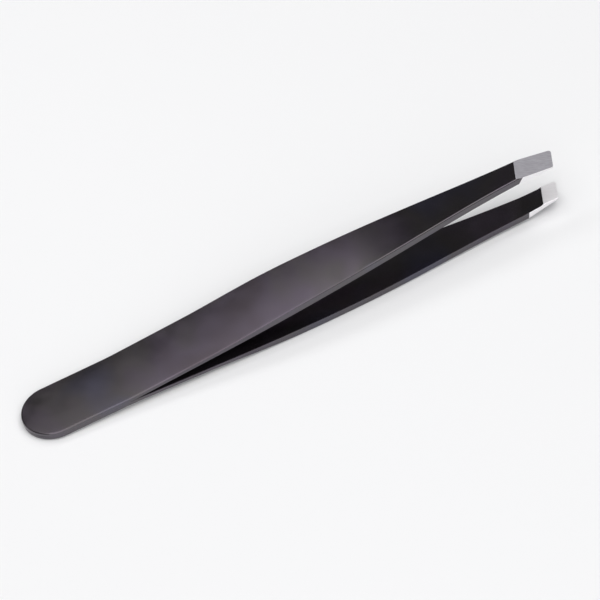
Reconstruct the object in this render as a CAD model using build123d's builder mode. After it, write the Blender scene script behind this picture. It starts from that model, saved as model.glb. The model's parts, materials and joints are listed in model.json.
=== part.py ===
from build123d import *
import os
from math import asin, atan2, cos, hypot, radians, sin, tan

# Slant tweezers: two stamped steel arms, mirror images of each other, lie back to back
# at the tail, where spot welds join them, and spread apart towards their slanted tips.
# Sizes are in millimetres and angles in degrees.
#
# An arm is drawn in its own directions: x runs along it from the tail's round end,
# y runs across it, and z runs outwards from the joint plane between the two arms.
# The tweezers lie on a table on their lower arm, so these directions are tipped up by
# the lie angle. The row's origin is under the middle of the object, on the table.

# Outline of an arm, seen from above
arm_length = 96.0  # tail end to the longer corner of the slanted end, before rounding
tail_width = 10.2
parallel_length = 34.0  # from the tail end to where the sides start to draw in
shoulder_along = 66.0
shoulder_width = 7.6
neck_along = 88.0
neck_width = 4.06
tip_width = 3.5
tip_side_slope = -2.0  # how fast the sides still draw in where they reach the tip
slant_angle = 22.0  # of the end, the grip pads and the ground facets, across the arm
corner_radius = 0.4  # of the two corners of the slanted end

# Bending of an arm, seen from the side: heights of its inner face above the joint plane
flat_length = 15.0  # where the arms lie flat on each other
bend_along = 17.0  # corner of the bend that spreads the arms
bend_radius = 45.0
spread_angle = 3.78  # of each arm after the bend
straight_end = 46.0  # the spread arm is straight to here and bows inwards after it
belly_along = 54.0
belly_gap = 2.43
facet_gap = 3.69  # where the ground outer facet starts
front_slope = 1.5  # of the arm where that facet starts

# Thickness of an arm
spring_thickness = 0.72  # the tail and the flexing section, ground thin
blade_thickness = 1.25
spring_length = 15.0  # from the flat part to the rear of the stiff blade
thickening_length = 14.0  # from the rear of the blade to its full thickness
edge_radius = 0.28  # of the outer long edges

# Ground tip: an outer facet, and a grip pad that is proud of the inner face
facet_length = 6.7
end_thickness = 0.3
end_gap = 3.47  # height of the grip pad's front edge
pad_length = 2.75
ramp_length = 0.55  # from the inner face up to the pad
throat_gap = 3.56  # height of the inner face just behind that ramp
closed_clearance = 0.02  # from a grip pad to the joint plane when the tips are closed

# Spot welds, half in each arm
weld_radius = 1.6
weld_depth = 0.3
weld_pitch = 5.5
rear_weld_along = 5.0

# Worked out from the sizes above
blade_start = flat_length + spring_length
full_thickness_along = blade_start + thickening_length
spread_rise = tan(radians(spread_angle))
slant = radians(slant_angle)
centre_end = arm_length - tip_width / 2 * tan(slant)
facet_start = centre_end - facet_length
pad_start = centre_end - pad_length
cut_past = tail_width  # how far cuts and sweeps run past the arm

# Each arm flexes about the middle of its thin section until the pads meet.
flex_along = flat_length + spring_length / 2
flex_height = (flex_along - bend_along) * spread_rise + spring_thickness / 2
pad_reach = hypot(centre_end - flex_along, end_gap - flex_height)
pad_bearing = atan2(end_gap - flex_height, centre_end - flex_along)
closing_angle = pad_bearing + asin((flex_height - closed_clearance) / pad_reach)
pad_start_gap = end_gap - pad_length * tan(closing_angle)  # parallel pads when closed

# The lower arm touches the table with its rounded tail edge and with its belly, so the
# table is the line that meets the edge's rounding and passes through the belly.
belly_height = belly_gap + blade_thickness
touch_run = belly_along - edge_radius
touch_rise = belly_height - spring_thickness + edge_radius
lie_angle = atan2(touch_rise, touch_run) - asin(edge_radius / hypot(touch_run, touch_rise))
tail_height = (spring_thickness - edge_radius) * cos(lie_angle) + edge_radius * (1 - sin(lie_angle))
nose_along = arm_length - corner_radius * (tan(slant) + 1 / cos(slant) - 1)
nose_reach = nose_along * cos(lie_angle) + (end_gap + end_thickness) * sin(lie_angle)
origin_along = nose_reach / 2

joint_plane = Plane(
    origin=(-origin_along, 0, tail_height),
    x_dir=(cos(lie_angle), 0, sin(lie_angle)),
    z_dir=(-sin(lie_angle), 0, cos(lie_angle)),
)
side_plane = Plane(joint_plane.origin, x_dir=joint_plane.x_dir, z_dir=-joint_plane.y_dir)
arm_normal = Axis(joint_plane.origin, joint_plane.z_dir)
slant_direction = joint_plane.y_dir.rotate(arm_normal, -slant_angle)


def height_of_spread(along):
    """Height of the inner face on the straight run after the bend."""
    return (along - bend_along) * spread_rise


def slope(angle):
    """Direction along the arm that climbs at this angle."""
    return (cos(radians(angle)), sin(radians(angle)))


def across(along, turn=0.0):
    """Plane across the arm, facing the tips, turned in plan by an angle."""
    facing = joint_plane.x_dir.rotate(arm_normal, -turn)
    return Plane(joint_plane.from_local_coords((along, 0, 0)), z_dir=facing)


def arm_outline():
    """Plan of an arm: round tail, parallel sides, S-shaped taper and slanted end."""
    half_tail = tail_width / 2
    half_tip = tip_width / 2
    short_corner = arm_length - tip_width * tan(slant)
    with BuildSketch(joint_plane) as outline:
        with BuildLine():
            ThreePointArc((half_tail, half_tail), (0, 0), (half_tail, -half_tail))
            for side, corner in ((1, arm_length), (-1, short_corner)):
                Line((half_tail, side * half_tail), (parallel_length, side * half_tail))
                Spline(
                    (parallel_length, side * half_tail),
                    (shoulder_along, side * shoulder_width / 2),
                    (neck_along, side * neck_width / 2),
                    (corner, side * half_tip),
                    tangents=[(1, 0), slope(side * tip_side_slope)],
                )
            Line((arm_length, half_tip), (short_corner, -half_tip))
        make_face()
        fillet(outline.vertices().group_by(Axis.X)[-2:], corner_radius)
    return outline.sketch


def arm_section():
    """Side view of an arm up to its ground tip, with a little stock to cut off."""
    stock_along = facet_start + tip_width
    stock_rise = tip_width * tan(radians(front_slope))
    outer_bend = bend_along - spring_thickness * tan(radians(spread_angle) / 2)
    blade_rear = height_of_spread(blade_start) + spring_thickness
    full_height = height_of_spread(full_thickness_along) + blade_thickness
    facet_height = facet_gap + blade_thickness
    lie_slope = (cos(lie_angle), sin(lie_angle))
    with BuildSketch(side_plane) as section:
        with BuildLine():
            FilletPolyline(
                (0, 0),
                (bend_along, 0),
                (straight_end, height_of_spread(straight_end)),
                radius=bend_radius,
            )
            Spline(
                (straight_end, height_of_spread(straight_end)),
                (belly_along, belly_gap),
                (facet_start, facet_gap),
                tangents=[slope(spread_angle), slope(front_slope)],
            )
            Polyline(
                (facet_start, facet_gap),
                (stock_along, facet_gap + stock_rise),
                (stock_along, facet_height + stock_rise),
                (facet_start, facet_height),
            )
            Spline(
                (belly_along, belly_height),
                (facet_start, facet_height),
                tangents=[lie_slope, slope(front_slope)],
            )
            Spline(
                (blade_start, blade_rear),
                (full_thickness_along, full_height),
                (belly_along, belly_height),
                tangents=[slope(spread_angle), lie_slope],
            )
            FilletPolyline(
                (0, spring_thickness),
                (outer_bend, spring_thickness),
                (blade_start, blade_rear),
                radius=bend_radius,
            )
            Line((0, spring_thickness), (0, 0))
        make_face()
    return section.sketch


def tip_section():
    """Side view of the ground tip: facet outside, ramp and grip pad inside.

    It stands on the arm's near side, to be swept across the arm along the slant."""
    past_end = end_thickness  # the outline cuts this off at the slanted end
    facet_fall = (facet_gap + blade_thickness - end_gap - end_thickness) / facet_length
    near_origin = side_plane.origin - slant_direction * cut_past
    near_plane = Plane(near_origin, x_dir=side_plane.x_dir, z_dir=side_plane.z_dir)
    with BuildSketch(near_plane) as section:
        with BuildLine():
            Polyline(
                (facet_start, facet_gap),
                (pad_start - ramp_length, throat_gap),
                (pad_start, pad_start_gap),
                (centre_end + past_end, end_gap + past_end * tan(closing_angle)),
                (centre_end + past_end, end_gap + end_thickness - past_end * facet_fall),
                (facet_start, facet_gap + blade_thickness),
                close=True,
            )
        make_face()
    return section.sketch


# The whole upper arm behind its ground tip, before it is divided at its flexing section
with BuildPart() as upper_arm:
    extrude(arm_outline(), amount=facet_gap + tail_width)
    extrude(arm_section(), amount=cut_past, both=True, mode=Mode.INTERSECT)
    split(bisect_by=across(facet_start, slant_angle), keep=Keep.BOTTOM)
    outer_faces = upper_arm.faces().filter_by(lambda f: f.normal_at().Z > 0.9)
    rims = [e for e in outer_faces.edges() if abs(e.center().Y) > tip_width / 3]
    fillet(rims + outer_faces.edges().sort_by(Axis.X)[:1], edge_radius)

# Tail: the rear of the arm, flat on the other arm, with a pocket for half of each weld
with BuildPart() as upper_arm_tail:
    add(upper_arm.part)
    split(bisect_by=across(flat_length), keep=Keep.BOTTOM)
    with BuildSketch(joint_plane):
        with Locations((rear_weld_along, 0), (rear_weld_along + weld_pitch, 0)):
            Circle(weld_radius)
    extrude(amount=weld_depth, mode=Mode.SUBTRACT)

# Spring: the thin section that flexes when the arms are squeezed
with BuildPart() as upper_arm_spring:
    add(upper_arm.part)
    split(bisect_by=across(flat_length), keep=Keep.TOP)
    split(bisect_by=across(blade_start), keep=Keep.BOTTOM)

# Blade: the stiff part of the arm, where the fingers press
with BuildPart() as upper_arm_blade:
    add(upper_arm.part)
    split(bisect_by=across(blade_start), keep=Keep.TOP)

# Tip: bare steel, its facets and pad ground along lines parallel to the slanted end
with BuildPart() as upper_arm_tip:
    extrude(arm_outline(), amount=facet_gap + tail_width)
    extrude(tip_section(), amount=2 * cut_past, dir=slant_direction, mode=Mode.INTERSECT)

with BuildPart() as spot_weld_rear:
    with BuildSketch(joint_plane.offset(-weld_depth)):
        with Locations((rear_weld_along, 0)):
            Circle(weld_radius)
    extrude(amount=2 * weld_depth)

with BuildPart() as spot_weld_front:
    with BuildSketch(joint_plane.offset(-weld_depth)):
        with Locations((rear_weld_along + weld_pitch, 0)):
            Circle(weld_radius)
    extrude(amount=2 * weld_depth)

# The lower arm is the upper one mirrored in the joint plane.
with BuildPart() as lower_arm_tail:
    mirror(upper_arm_tail.part, about=joint_plane)

with BuildPart() as lower_arm_spring:
    mirror(upper_arm_spring.part, about=joint_plane)

with BuildPart() as lower_arm_blade:
    mirror(upper_arm_blade.part, about=joint_plane)

with BuildPart() as lower_arm_tip:
    mirror(upper_arm_tip.part, about=joint_plane)

pieces = {
    "upper_arm_tail": upper_arm_tail,
    "upper_arm_spring": upper_arm_spring,
    "upper_arm_blade": upper_arm_blade,
    "upper_arm_tip": upper_arm_tip,
    "lower_arm_tail": lower_arm_tail,
    "lower_arm_spring": lower_arm_spring,
    "lower_arm_blade": lower_arm_blade,
    "lower_arm_tip": lower_arm_tip,
    "spot_weld_rear": spot_weld_rear,
    "spot_weld_front": spot_weld_front,
}
os.makedirs("parts", exist_ok=True)
for node, piece in pieces.items():
    piece.part.label = node
    export_step(piece.part, f"parts/{node}.step")
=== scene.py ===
import json
from math import cos, pi, radians, sin, sqrt, tan

import bmesh
import bpy
import numpy as np
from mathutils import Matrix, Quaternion, Vector

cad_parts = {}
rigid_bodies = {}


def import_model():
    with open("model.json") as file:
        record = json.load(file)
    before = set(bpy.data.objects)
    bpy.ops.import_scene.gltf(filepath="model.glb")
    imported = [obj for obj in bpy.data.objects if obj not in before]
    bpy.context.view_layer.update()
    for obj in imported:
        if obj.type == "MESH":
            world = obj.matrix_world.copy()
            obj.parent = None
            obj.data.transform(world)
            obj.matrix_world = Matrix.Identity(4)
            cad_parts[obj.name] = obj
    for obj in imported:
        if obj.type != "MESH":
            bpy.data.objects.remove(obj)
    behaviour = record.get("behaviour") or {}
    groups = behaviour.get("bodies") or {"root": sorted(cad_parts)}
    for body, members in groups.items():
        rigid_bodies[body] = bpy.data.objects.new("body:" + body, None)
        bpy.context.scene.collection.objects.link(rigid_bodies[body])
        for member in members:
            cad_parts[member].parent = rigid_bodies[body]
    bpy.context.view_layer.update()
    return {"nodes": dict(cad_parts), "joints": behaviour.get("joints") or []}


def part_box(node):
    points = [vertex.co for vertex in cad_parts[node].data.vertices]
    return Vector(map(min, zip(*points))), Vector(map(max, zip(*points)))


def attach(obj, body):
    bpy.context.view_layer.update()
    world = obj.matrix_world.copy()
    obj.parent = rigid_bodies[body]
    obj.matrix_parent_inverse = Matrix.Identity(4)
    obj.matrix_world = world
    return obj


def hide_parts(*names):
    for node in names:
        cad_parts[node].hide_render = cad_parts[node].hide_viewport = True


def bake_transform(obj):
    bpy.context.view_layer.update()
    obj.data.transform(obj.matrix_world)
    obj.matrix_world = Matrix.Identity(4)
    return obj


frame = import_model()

MM = 0.001

# ---------------------------------------------------------------------------
# Sizes of one arm, in millimetres. An arm is shaped lying flat: x runs along it
# from the round tail end, y across it, and z outwards from the joint plane that
# the two arms share. It is then tipped up and moved to where the frame has it.
# ---------------------------------------------------------------------------
TAIL_LOW, TAIL_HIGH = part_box("upper_arm_tail")
HALF_TAIL = (TAIL_HIGH.y - TAIL_LOW.y) / 2 / MM
ARM_LENGTH = 96.0
PARALLEL_LENGTH = 34.0  # the sides are parallel this far
SHOULDER = (66.0, 3.8)  # along the arm, half its width there
NECK = (88.0, 2.03)
HALF_TIP = 1.75
TIP_SIDE_SLOPE = radians(-2.0)
SLANT = radians(22.0)

FLAT_LENGTH = 15.0  # plain flat strip, before the bend
BEND_ALONG = 17.0
BEND_RADIUS = 45.0
BEND_REACH = 1.5  # the bend runs just under this far each side of its middle
SPREAD = radians(3.78)  # the bend leads each arm this much away from the joint plane
LIE = radians(3.1534)  # lying on its lower arm, the joint plane rises by this much
STRAIGHT_END = 46.0  # the inner face is straight this far, and bows after it
BELLY = (54.0, 2.43)  # along the arm, height of its inner face there
FACET_GAP = 3.69  # height of the inner face where the outer facet starts
FRONT_SLOPE = radians(1.5)

THIN = 0.72  # thickness of the tail and the spring section
THICK = 1.25  # and of the blade
THIN_END = 30.0  # the strip thickens from here
THICK_START = 44.0  # to here
EDGE_RADIUS = 0.28  # outer edges, rounded by tumbling before the coat
INNER_EDGE_RADIUS = 0.07
CORNER_RADIUS = 0.4  # the two corners of the slanted end

FACET_LENGTH = 6.7
END_THICKNESS = 0.28
THROAT_GAP = 3.56  # height of the inner face where the ramp up to the grip pad starts
PAD_START_GAP = 3.36  # and where the pad starts
END_GAP = 3.49  # and at the end
PAD_LENGTH = 2.75
RAMP_LENGTH = 0.55
FACET_BREAK = 0.08  # the ground facet starts with a narrow strip at half its slope
PAD_BREAK = 0.12  # and the grip pad with one that eases the ramp into it
PAD_BREAK_FALL = 0.02
# how far back from the end the sides are ground bare, at the outer and the inner edge
BARE_SIDES = {"upper": (5.3, 6.3), "lower": (5.6, 5.4)}

WELD_RADIUS = 1.6
WELD_DEPTH = 0.3
WELDS = {"spot_weld_rear": 5.0, "spot_weld_front": 10.5}  # along the tails

FLEX_ALONG = 22.5
BODY_OF = {"upper": "upper_blade", "lower": "lower_blade"}

CENTRE_END = ARM_LENGTH - HALF_TIP * tan(SLANT)
FACET_START = CENTRE_END - FACET_LENGTH
PAD_START = CENTRE_END - PAD_LENGTH
THROAT = PAD_START - RAMP_LENGTH
SLANT_LINE = Vector((sin(SLANT), cos(SLANT), 0))
SHARP_CORNER = tan((pi / 2 - SLANT) / 2)  # the +y corner's rounding runs this much further
TURN_START = 56.0  # the cross-sections turn from square to slanted between these
TURN_END = FACET_START - 2.0

# How faces are told apart: by their unit normals, and by their place in millimetres
POINTS_STRAIGHT = 0.9
POINTS_ASIDE = 0.3
LEANS_ASIDE = 0.5
SAME_WAY = 0.9999
END_ZONE = 0.5
CORNER_ZONE = 2.0
OFF_CENTRE = 1.0
FACET_ZONE = 3.0
HAIR = 0.01

# How meshes are cut and shaded
CUT_TOLERANCE = 1e-4
MERGE_DISTANCE = 5e-4
EDGE_STEPS = 6
CORNER_STEPS = 8
SMOOTH_ANGLE = radians(17)  # just over one step of a rounded edge

# ---------------------------------------------------------------------------
# Where the frame has the tweezers: the joint plane runs midway between the flex axes
# ---------------------------------------------------------------------------
FLEX_AXES = [Vector(joint["pos_m"]) for joint in frame["joints"]]
FLEX_MIDDLE = (FLEX_AXES[0] + FLEX_AXES[1]) / 2
ALONG = Vector((cos(LIE), 0, sin(LIE)))
TAIL_END = FLEX_MIDDLE - ALONG * FLEX_ALONG * MM


# ---------------------------------------------------------------------------
# The arm's curves
# ---------------------------------------------------------------------------
def smooth_curve(points, first_slope, last_slope):
    """The cubic spline through some points, with its slope set at both ends."""
    x, y = np.array(points, float).T
    run, rise = np.diff(x), np.diff(y)
    rule, right = np.eye(len(x)), np.zeros(len(x))
    right[0], right[-1] = first_slope, last_slope
    for i in range(1, len(x) - 1):
        rule[i, i - 1 : i + 2] = run[i], 2 * (run[i - 1] + run[i]), run[i - 1]
        right[i] = 3 * (run[i] * rise[i - 1] / run[i - 1] + run[i - 1] * rise[i] / run[i])
    slopes = np.linalg.solve(rule, right)

    def height(at):
        i = int(np.clip(np.searchsorted(x, at) - 1, 0, len(run) - 1))
        t = (at - x[i]) / run[i]
        return float(
            (2 * t**3 - 3 * t**2 + 1) * y[i]
            + (t**3 - 2 * t**2 + t) * run[i] * slopes[i]
            + (3 * t**2 - 2 * t**3) * y[i + 1]
            + (t**3 - t**2) * run[i] * slopes[i + 1]
        )

    return height


def spread_line(along):
    """Inner face height on the straight run after the bend."""
    return (along - BEND_ALONG) * tan(SPREAD)


side_curve = smooth_curve(
    [(PARALLEL_LENGTH, HALF_TAIL), SHOULDER, NECK, (ARM_LENGTH, HALF_TIP)],
    0.0,
    tan(TIP_SIDE_SLOPE),
)
inner_bow = smooth_curve(
    [(STRAIGHT_END, spread_line(STRAIGHT_END)), BELLY, (FACET_START, FACET_GAP)],
    tan(SPREAD),
    tan(FRONT_SLOPE),
)
outer_rise = smooth_curve(
    [
        (THIN_END, spread_line(THIN_END) + THIN),
        (THICK_START, spread_line(THICK_START) + THICK),
        (BELLY[0], BELLY[1] + THICK),
    ],
    tan(SPREAD),
    tan(LIE),
)
outer_bow = smooth_curve(
    [(BELLY[0], BELLY[1] + THICK), (FACET_START, FACET_GAP + THICK)],
    tan(LIE),
    tan(FRONT_SLOPE),
)


def half_width(along):
    """Half the width across the arm, square to its length."""
    return HALF_TAIL if along <= PARALLEL_LENGTH else side_curve(along)


def bent_height(along):
    """Inner face height up to the bend that spreads the arm, through it and after it."""
    bend_start = BEND_ALONG - BEND_RADIUS * tan(SPREAD / 2)
    bend_end = bend_start + BEND_RADIUS * sin(SPREAD)
    if along <= bend_start:
        return 0.0
    if along < bend_end:
        return BEND_RADIUS - sqrt(BEND_RADIUS**2 - (along - bend_start) ** 2)
    return spread_line(along)


def inner_height(along):
    """Height of the inner face, with the ramp and the proud grip pad at the tip."""
    if along <= STRAIGHT_END:
        return bent_height(along)
    if along <= FACET_START:
        return inner_bow(along)
    tip = [FACET_START, THROAT, PAD_START, PAD_START + PAD_BREAK, CENTRE_END]
    gaps = [FACET_GAP, THROAT_GAP, PAD_START_GAP + PAD_BREAK_FALL, PAD_START_GAP, END_GAP]
    return float(np.interp(along, tip, gaps))


def outer_height(along):
    """Height of the outer face before the tip is ground."""
    if along <= THIN_END:
        return bent_height(along) + THIN
    if along <= BELLY[0]:
        return outer_rise(along)
    if along <= FACET_START:
        return outer_bow(along)
    return FACET_GAP + THICK + (along - FACET_START) * tan(FRONT_SLOPE)


def turn(along):
    """How far the cross-sections are turned in plan: from square to along the slant."""
    t = min(max((along - TURN_START) / (TURN_END - TURN_START), 0), 1)
    return SLANT * t * t * (3 - 2 * t)


def stations():
    """Distances along the arm at which it gets a cross-section, after the tail's own."""
    runs = [
        np.linspace(HALF_TAIL, FLAT_LENGTH, 4),
        np.linspace(BEND_ALONG - BEND_REACH, BEND_ALONG + BEND_REACH, 9),
        np.linspace(BEND_ALONG + BEND_REACH + 1, THIN_END, 9),
        np.linspace(THIN_END, STRAIGHT_END, 14),
        np.linspace(STRAIGHT_END, FACET_START, 24),
        np.linspace(FACET_START, THROAT, 4),
        [PAD_START, PAD_START + PAD_BREAK, CENTRE_END],
    ]
    return sorted(set(round(float(along), 4) for run in runs for along in run))[1:]


# ---------------------------------------------------------------------------
# Working on a mesh as by hand
# ---------------------------------------------------------------------------
def work_on(piece, mode):
    """Makes a piece the only selected one and enters object or edit mode on it."""
    if bpy.context.mode != "OBJECT":
        bpy.ops.object.mode_set(mode="OBJECT")
    bpy.ops.object.select_all(action="DESELECT")
    piece.select_set(True)
    bpy.context.view_layer.objects.active = piece
    bpy.ops.object.mode_set(mode=mode)


def pick(piece, kind, wanted):
    """Selects the faces or edges of the piece in edit mode that are wanted."""
    bpy.ops.mesh.select_all(action="DESELECT")
    bpy.ops.mesh.select_mode(type=kind)
    shape = bmesh.from_edit_mesh(piece.data)
    shape.normal_update()
    for part in shape.faces if kind == "FACE" else shape.edges:
        if wanted(part):
            part.select_set(True)
    shape.select_flush_mode()
    bmesh.update_edit_mesh(piece.data)


def cut(spot, normal, **options):
    """Cuts the whole mesh in edit mode along a plane."""
    bpy.ops.mesh.select_all(action="SELECT")
    bpy.ops.mesh.bisect(plane_co=spot, plane_no=normal, threshold=CUT_TOLERANCE, **options)


def slant_along(point):
    """Where the slanted line across the arm through a point meets the centre line."""
    return point.x - point.y * tan(SLANT)


def faces_out(face):
    return face.normal.z > POINTS_STRAIGHT


def faces_in(face):
    return face.normal.z < -POINTS_STRAIGHT


def faces_aside(face):
    return abs(face.normal.z) < POINTS_ASIDE and not faces_end(face)


def faces_end(face):
    """The slanted end, and the rounded corners beside it."""
    at_end = slant_along(face.calc_center_median()) > CENTRE_END - END_ZONE
    upright = abs(face.normal.z) < POINTS_ASIDE
    return at_end and upright and face.normal.x > POINTS_ASIDE


def between(one, other):
    """A test for edges between two sorts of face."""

    def wanted(edge):
        if len(edge.link_faces) != 2:
            return False
        a, b = edge.link_faces
        return (one(a) and other(b)) or (one(b) and other(a))

    return wanted


def end_corner(side):
    """A test for the edge through the strip at one corner of the slanted end."""

    def wanted(edge):
        one, other = (vert.co for vert in edge.verts)
        return (
            one.x > CENTRE_END - CORNER_ZONE
            and min(one.y * side, other.y * side) > OFF_CENTRE
            and abs((one - other).z) > THICK / 2
            and any(faces_end(face) for face in edge.link_faces)
        )

    return wanted


# ---------------------------------------------------------------------------
# An arm
# ---------------------------------------------------------------------------
def round_tail(name):
    """Half a disc of strip, with a flat front face from which the arm grows."""
    bpy.ops.mesh.primitive_cylinder_add(
        vertices=96,
        radius=HALF_TAIL,
        depth=THIN,
        location=(HALF_TAIL, 0, THIN / 2),
    )
    blank = bpy.context.object
    blank.name = name
    for finish in (COAT, FACET_STEEL_PAINTED_DARKER, PAD_STEEL_PAINTED_LIGHTER, SIDE_COAT_PAINTED_LIGHTER):
        blank.data.materials.append(finish)
    work_on(blank, "OBJECT")
    bpy.ops.object.transform_apply(location=True, rotation=True, scale=True)
    work_on(blank, "EDIT")
    cut((HALF_TAIL, 0, 0), (1, 0, 0), clear_outer=True, use_fill=True)
    pick(blank, "FACE", lambda face: face.normal.x > POINTS_STRAIGHT)
    return blank


def grow_arm():
    """Draws the strip out from the tail, one cross-section after another."""
    middle = Vector((HALF_TAIL, 0, THIN / 2))
    length, thickness, turned = HALF_TAIL, THIN, 0.0
    for along in stations():
        low, high = inner_height(along), outer_height(along)
        new_middle = Vector((along, 0, (low + high) / 2))
        new_turn = turn(along)
        new_length = half_width(along) / cos(new_turn)
        bpy.ops.mesh.extrude_region_move(
            TRANSFORM_OT_translate={"value": new_middle - middle}
        )
        if new_turn != turned:
            bpy.ops.transform.rotate(
                value=new_turn - turned, orient_axis="Z", center_override=new_middle
            )
        across = new_length / length
        bpy.ops.transform.resize(
            value=(across, across, (high - low) / thickness), center_override=new_middle
        )
        middle, length, thickness, turned = new_middle, new_length, high - low, new_turn


def round_edges(blank):
    """Rounds the two corners of the slanted end, then all the long edges."""
    for side, offset in ((1, CORNER_RADIUS / SHARP_CORNER), (-1, CORNER_RADIUS * SHARP_CORNER)):
        pick(blank, "EDGE", end_corner(side))
        bpy.ops.mesh.bevel(offset=offset, segments=CORNER_STEPS, affect="EDGES")
    for flat, radius in ((faces_out, EDGE_RADIUS), (faces_in, INNER_EDGE_RADIUS)):
        pick(blank, "EDGE", between(flat, faces_aside))
        bpy.ops.mesh.bevel(
            offset=radius, segments=EDGE_STEPS, affect="EDGES", clamp_overlap=False
        )


def slanted_cut(rear, front):
    """A point and normal of the plane through two points on the centre line (x, z).

    It holds the slant direction too. The normal points outwards or towards the end.
    """
    down = Vector((front[0] - rear[0], 0, front[1] - rear[1]))
    return Vector((rear[0], 0, rear[1])), down.cross(SLANT_LINE).normalized()


def grind_facet():
    """Grinds the outer face of the tip down to the thin slanted end, in two strokes."""
    top = FACET_GAP + THICK
    fall = top - END_GAP - END_THICKNESS
    strokes = [
        slanted_cut((FACET_START + FACET_BREAK, top), (CENTRE_END, top - fall)),
        slanted_cut((FACET_START, top), (CENTRE_END, top - fall / 2)),
    ]
    for spot, normal in strokes:
        cut(spot, normal, clear_outer=True, use_fill=True)
    return [normal for spot, normal in strokes]


def on_facet(face, facet_normals):
    return any(face.normal.dot(normal) > SAME_WAY for normal in facet_normals)


def mark_bare_sides(blank, side, facet_normals):
    """Cuts a line across each side of the tip, where its ground bare part begins."""
    outer, inner = (CENTRE_END - back for back in BARE_SIDES[side])
    spot, normal = slanted_cut((outer, FACET_GAP + THICK), (inner, FACET_GAP))

    def beside_facet(face):
        ahead = face.calc_center_median().x > FACET_START - FACET_ZONE
        return ahead and not (on_facet(face, facet_normals) or faces_in(face) or faces_end(face))

    pick(blank, "FACE", beside_facet)
    bpy.ops.mesh.bisect(plane_co=spot, plane_no=normal, threshold=CUT_TOLERANCE)
    return spot, normal


def paint(blank, facet_normals, sides_from):
    """Gives the sheared sides the paler coat (painted light), the ground facets of the tip the
    darker steel (painted shade), and the grip pads and bare sides the paler steel (painted
    light).
    """
    spot, normal = sides_from

    def sheared_side(face):
        return abs(face.normal.z) < LEANS_ASIDE

    def facet(face):
        return on_facet(face, facet_normals)

    def pad_or_side(face):
        middle = face.calc_center_median()
        on_pad = slant_along(middle) > PAD_START + HAIR
        on_bare_side = not faces_in(face) and (middle - spot).dot(normal) > 0
        return not facet(face) and (on_pad or on_bare_side)

    finishes = ((SIDE_COAT_PAINTED_LIGHTER, sheared_side), (FACET_STEEL_PAINTED_DARKER, facet), (PAD_STEEL_PAINTED_LIGHTER, pad_or_side))
    for finish, wanted in finishes:
        pick(blank, "FACE", wanted)
        blank.active_material_index = blank.data.materials.find(finish.name)
        bpy.ops.object.material_slot_assign()


def part_the_tip(blank):
    """Parts the ground tip from the arm along the slant, and closes both."""
    pick(blank, "FACE", lambda face: slant_along(face.calc_center_median()) > FACET_START)
    bpy.ops.mesh.separate(type="SELECTED")
    work_on(blank, "OBJECT")
    tip = next(o for o in bpy.context.scene.objects if o.name.startswith(blank.name + "."))
    for piece in (blank, tip):
        work_on(piece, "EDIT")
        bpy.ops.mesh.select_all(action="SELECT")
        bpy.ops.mesh.remove_doubles(threshold=MERGE_DISTANCE)
        pick(piece, "EDGE", lambda edge: len(edge.link_faces) == 1)
        bpy.ops.mesh.edge_face_add()
    work_on(blank, "OBJECT")
    return tip


def dimple_for_welds(arm):
    """Sinks the shallow pockets that the two weld nuggets fill, between the tails."""
    for along in WELDS.values():
        work_on(arm, "OBJECT")
        bpy.ops.mesh.primitive_cylinder_add(
            vertices=48,
            radius=WELD_RADIUS,
            depth=2 * WELD_DEPTH,
            location=(along, 0, 0),
        )
        cutter = bpy.context.object
        work_on(arm, "OBJECT")
        pocket = arm.modifiers.new("weld_pocket", "BOOLEAN")
        pocket.operation = "DIFFERENCE"
        pocket.object = cutter
        bpy.ops.object.modifier_apply(modifier=pocket.name)
        bpy.data.objects.remove(cutter)


def place(piece, side, name):
    """Mirrors a lower piece, and puts a piece where the frame has that arm."""
    work_on(piece, "EDIT")
    bpy.ops.mesh.select_all(action="SELECT")
    if side == "lower":
        bpy.ops.transform.resize(value=(1, 1, -1), center_override=(0, 0, 0))
    bpy.ops.mesh.normals_make_consistent(inside=False)
    work_on(piece, "OBJECT")
    bpy.ops.object.material_slot_remove_unused()
    piece.name = piece.data.name = name
    piece.location = TAIL_END
    piece.rotation_euler = (0, -LIE, 0)
    piece.scale = (MM, MM, MM)
    bpy.ops.object.transform_apply(location=True, rotation=True, scale=True)
    bpy.ops.object.shade_smooth_by_angle(angle=SMOOTH_ANGLE)
    flats = piece.modifiers.new("flat_faces", "WEIGHTED_NORMAL")
    flats.keep_sharp = True
    flats.weight = 100
    bpy.ops.object.modifier_apply(modifier=flats.name)


def make_arm(side):
    """One whole arm, as its long coated piece and its ground tip."""
    arm = round_tail(f"{side}_blank")
    grow_arm()
    round_edges(arm)
    facet_normals = grind_facet()
    sides_from = mark_bare_sides(arm, side, facet_normals)
    paint(arm, facet_normals, sides_from)
    tip = part_the_tip(arm)
    dimple_for_welds(arm)
    place(arm, side, f"{side}_arm")
    place(tip, side, f"{side}_tip")
    return arm, tip


# ---------------------------------------------------------------------------
# Materials
# ---------------------------------------------------------------------------
def linear(colour):
    """An sRGB hex colour as the linear red, green, blue and alpha that a shader takes."""
    parts = [int(colour[i : i + 2], 16) / 255 for i in (1, 3, 5)]
    return [p / 12.92 if p <= 0.04045 else ((p + 0.055) / 1.055) ** 2.4 for p in parts] + [1]


def grey(value):
    """A linear grey. A ramp to a number, such as roughness, takes one too."""
    return [value, value, value, 1]


def pattern_scale(size):
    """The scale at which a noise pattern's marks are about this many millimetres apart."""
    return 1 / (size * MM)


def add_node(material, kind, inputs=(), links=(), stops=(), **settings):
    """Adds a node with its settings, input values and links, and a ramp's stops.

    A link names an input and the (node, output) that feeds it. A stop is a position
    and a linear colour.
    """
    tree = material.node_tree
    node = tree.nodes.new(kind)
    for name, value in settings.items():
        setattr(node, name, value)
    for name, value in dict(inputs).items():
        node.inputs[name].default_value = value
    for name, (source, output) in dict(links).items():
        tree.links.new(source.outputs[output], node.inputs[name])
    if stops:
        elements = node.color_ramp.elements
        while len(elements) < len(stops):
            elements.new(0.5)
        for element, (position, colour) in zip(elements, stops):
            element.position = position
            element.color = colour
    return node


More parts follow.
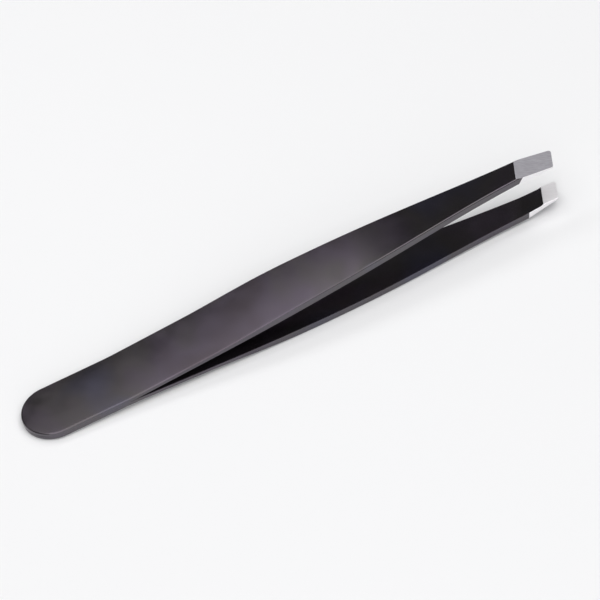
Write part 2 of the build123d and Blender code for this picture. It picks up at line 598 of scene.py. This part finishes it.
def new_material(name):
    """A material whose nodes are all still to come."""
    material = bpy.data.materials.new(name)
    material.use_nodes = True
    material.node_tree.nodes.clear()
    return material


def finish_material(material, shader):
    """Feeds the shader to the material's output."""
    add_node(material, "ShaderNodeOutputMaterial", links={"Surface": (shader, "BSDF")})
    return material


def make_coat(name, tints, glossy, dull):
    """Black vapour-deposited (PVD) coat on tumbled stainless strip.

    A metal-hard coat a few microns thick: it mirrors softly like dark metal instead of
    looking like paint, with faint purple, blue and brown patches where its thickness
    changes, and a fine satin tooth from the tumbled steel under it.
    """
    coat = new_material(name)
    position = add_node(coat, "ShaderNodeTexCoord")
    tinted_from = (0.30, 0.44, 0.56, 0.70)  # nearly all of the noise lies between these
    # patches of tint 12 to 20 mm across
    patches = add_node(
        coat,
        "ShaderNodeTexNoise",
        inputs={"Scale": pattern_scale(14.3), "Detail": 2.0, "Roughness": 0.5},
        links={"Vector": (position, "Object")},
    )
    tint = add_node(
        coat,
        "ShaderNodeValToRGB",
        links={"Fac": (patches, "Fac")},
        stops=[(value, linear(colour)) for value, colour in zip(tinted_from, tints)],
    )
    # handling haze, a few millimetres across, in the gloss alone
    haze = add_node(
        coat,
        "ShaderNodeTexNoise",
        inputs={"Scale": pattern_scale(3.85), "Detail": 3.0, "Roughness": 0.6},
        links={"Vector": (position, "Object")},
    )
    gloss = add_node(
        coat,
        "ShaderNodeValToRGB",
        links={"Fac": (haze, "Fac")},
        stops=[(0.3, grey(glossy)), (0.7, grey(dull))],
    )
    # tumbled tooth: real pits are about 0.05 mm, drawn at 0.25 mm
    tooth = add_node(
        coat,
        "ShaderNodeTexNoise",
        inputs={"Scale": pattern_scale(0.25), "Detail": 2.0, "Roughness": 0.5},
        links={"Vector": (position, "Object")},
    )
    bump = add_node(
        coat,
        "ShaderNodeBump",
        inputs={"Strength": 0.08, "Distance": 0.02 * MM},
        links={"Height": (tooth, "Fac")},
    )
    shader = add_node(
        coat,
        "ShaderNodeBsdfPrincipled",
        inputs={"Metallic": 0.92},
        links={
            "Base Color": (tint, "Color"),
            "Roughness": (gloss, "Color"),
            "Normal": (bump, "Normal"),
        },
    )
    return finish_material(coat, shader)


def make_steel(name, dark, light, dull, glossy):
    """Stainless steel ground bare after coating, with its straight fine scratches.

    The scratches run square to the slanted end, so it gleams softly and evenly in a
    cool grey, with a little more shine where the scratches are worn down.
    """
    steel = new_material(name)
    position = add_node(steel, "ShaderNodeTexCoord")
    turned = add_node(
        steel,
        "ShaderNodeMapping",
        inputs={"Rotation": (0, 0, -SLANT), "Scale": (25.0, 1.0, 1.0)},
        links={"Vector": (position, "Object")},
        vector_type="TEXTURE",
    )
    # belt scratches: real ones are about 0.03 mm apart, drawn at about 0.15 mm
    scratches = add_node(
        steel,
        "ShaderNodeTexNoise",
        inputs={"Scale": pattern_scale(0.154), "Detail": 3.0, "Roughness": 0.65},
        links={"Vector": (turned, "Vector")},
    )
    shade = add_node(
        steel,
        "ShaderNodeValToRGB",
        links={"Fac": (scratches, "Fac")},
        stops=[(0.25, linear(dark)), (0.75, linear(light))],
    )
    gloss = add_node(
        steel,
        "ShaderNodeValToRGB",
        links={"Fac": (scratches, "Fac")},
        stops=[(0.25, grey(dull)), (0.75, grey(glossy))],
    )
    bump = add_node(
        steel,
        "ShaderNodeBump",
        inputs={"Strength": 0.25, "Distance": 0.02 * MM},
        links={"Height": (scratches, "Fac")},
    )
    shader = add_node(
        steel,
        "ShaderNodeBsdfPrincipled",
        inputs={"Metallic": 1.0},
        links={
            "Base Color": (shade, "Color"),
            "Roughness": (gloss, "Color"),
            "Normal": (bump, "Normal"),
        },
    )
    return finish_material(steel, shader)


def make_card():
    """Matt white card for the table, which hardly mirrors anything."""
    card = new_material("white_card")
    shader = add_node(
        card,
        "ShaderNodeBsdfPrincipled",
        inputs={
            "Base Color": linear("#f2f2f3"),
            "Roughness": 0.9,
            "Specular IOR Level": 0.1,
        },
    )
    return finish_material(card, shader)


COAT = make_coat("black_coat", ("#4e474c", "#58515b", "#565254", "#54525f"), 0.12, 0.18)
# painted light: the sheared sides and the lower part of their rounded edges get a paler copy of
# the coat, for the light they catch from the table and the front; that copy is a little rougher
# too
SIDE_COAT_PAINTED_LIGHTER = make_coat(
    "black_coat_on_sides", ("#5b575d", "#625e65", "#625f62", "#605f69"), 0.16, 0.24
)
# belt-ground on the outer facets, and lapped to an even matt on the grip pads and sides. One
# bare steel in two shades: painted shade makes the facets darker, painted light makes the pads,
# sides and welds paler
FACET_STEEL_PAINTED_DARKER = make_steel("belt_ground_steel", "#99979d", "#b4b2b8", 0.46, 0.38)
PAD_STEEL_PAINTED_LIGHTER = make_steel("lapped_steel", "#eeecee", "#faf8fa", 0.52, 0.44)

# ---------------------------------------------------------------------------
# The two arms, their tips and the welds
# ---------------------------------------------------------------------------
for side, body in BODY_OF.items():
    arm, tip = make_arm(side)
    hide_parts(*(f"{side}_arm_{part}" for part in ("tail", "spring", "blade")))
    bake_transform(arm)
    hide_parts(f"{side}_arm_tip")
    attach(tip, body)

for name in WELDS:
    weld = frame["nodes"][name]
    weld.data.materials.clear()
    # the welds take the paler steel, whose colour is painted light
    weld.data.materials.append(PAD_STEEL_PAINTED_LIGHTER)

# ---------------------------------------------------------------------------
# Table, lights and camera, in metres
# ---------------------------------------------------------------------------
LOOK_AT = Vector((0.39, -0.96, 3.37)) * MM
CAMERA_DISTANCE = 0.6
CAMERA_AZIMUTH = -18.947  # degrees
CAMERA_ELEVATION = 46.014
CAMERA_ROLL = -9.35
CAMERA_LENS = 225.73  # millimetres, as is the sensor
CAMERA_SENSOR = 36
NEAREST_SEEN = 0.01
ROOM_LIGHT = 0.08
TABLE_SIZE = 3.0


def direction(azimuth, elevation):
    """The way out from the object; azimuth 0 is towards -y, and elevation is upwards."""
    a, e = radians(azimuth), radians(elevation)
    return Vector((sin(a) * cos(e), -cos(a) * cos(e), sin(e)))


def add_softbox(name, towards, distance, width, height, radiance, aside=0.0):
    """A rectangular softbox turned to the origin, then slid aside along x."""
    data = bpy.data.lights.new(name, "AREA")
    data.shape = "RECTANGLE"
    data.size = width
    data.size_y = height
    data.energy = radiance * pi * width * height
    box = bpy.data.objects.new(name, data)
    box.location = Vector(towards).normalized() * distance + Vector((aside, 0, 0))
    box.rotation_euler = Vector(towards).to_track_quat("Z", "Y").to_euler()
    bpy.context.scene.collection.objects.link(box)


bpy.ops.mesh.primitive_plane_add(size=TABLE_SIZE, location=(0, 0, 0))
table = bpy.context.object
table.name = "table"
table.data.materials.append(make_card())

# a strip close behind the tail half, whose reflection fades out along the outer face
add_softbox(
    "back_left",
    towards=(0, 0.54, 0.842),
    distance=0.25,
    width=0.19,
    height=0.066,
    radiance=1.9,
    aside=-0.057,
)
# for the facets and the grip pads
add_softbox(
    "back_right",
    towards=(0.497, 0.392, 0.774),
    distance=0.9,
    width=0.45,
    height=0.43,
    radiance=1.45,
)
# for the near sides and their edges, and for the table in front
add_softbox(
    "front",
    towards=(-0.3, -0.9, 0.35),
    distance=0.9,
    width=0.9,
    height=0.5,
    radiance=1.7,
)
# the large overhead box that lights the table
add_softbox(
    "overhead",
    towards=(0.0, -0.35, 1.0),
    distance=1.2,
    width=1.8,
    height=1.6,
    radiance=2.0,
)

world = bpy.data.worlds.new("studio")
world.use_nodes = True
world.node_tree.nodes["Background"].inputs["Color"].default_value = grey(ROOM_LIGHT)
bpy.context.scene.world = world

view_back = direction(CAMERA_AZIMUTH, CAMERA_ELEVATION)
level = view_back.to_track_quat("Z", "Y")
roll = Quaternion((0, 0, 1), radians(CAMERA_ROLL))
camera_data = bpy.data.cameras.new("camera")
camera_data.lens = CAMERA_LENS
camera_data.sensor_width = CAMERA_SENSOR
camera_data.clip_start = NEAREST_SEEN
camera = bpy.data.objects.new("camera", camera_data)
camera.location = LOOK_AT + view_back * CAMERA_DISTANCE
camera.rotation_euler = (level @ roll).to_euler()
bpy.context.scene.collection.objects.link(camera)
bpy.context.scene.camera = camera
bpy.context.scene.view_settings.view_transform = "Standard"
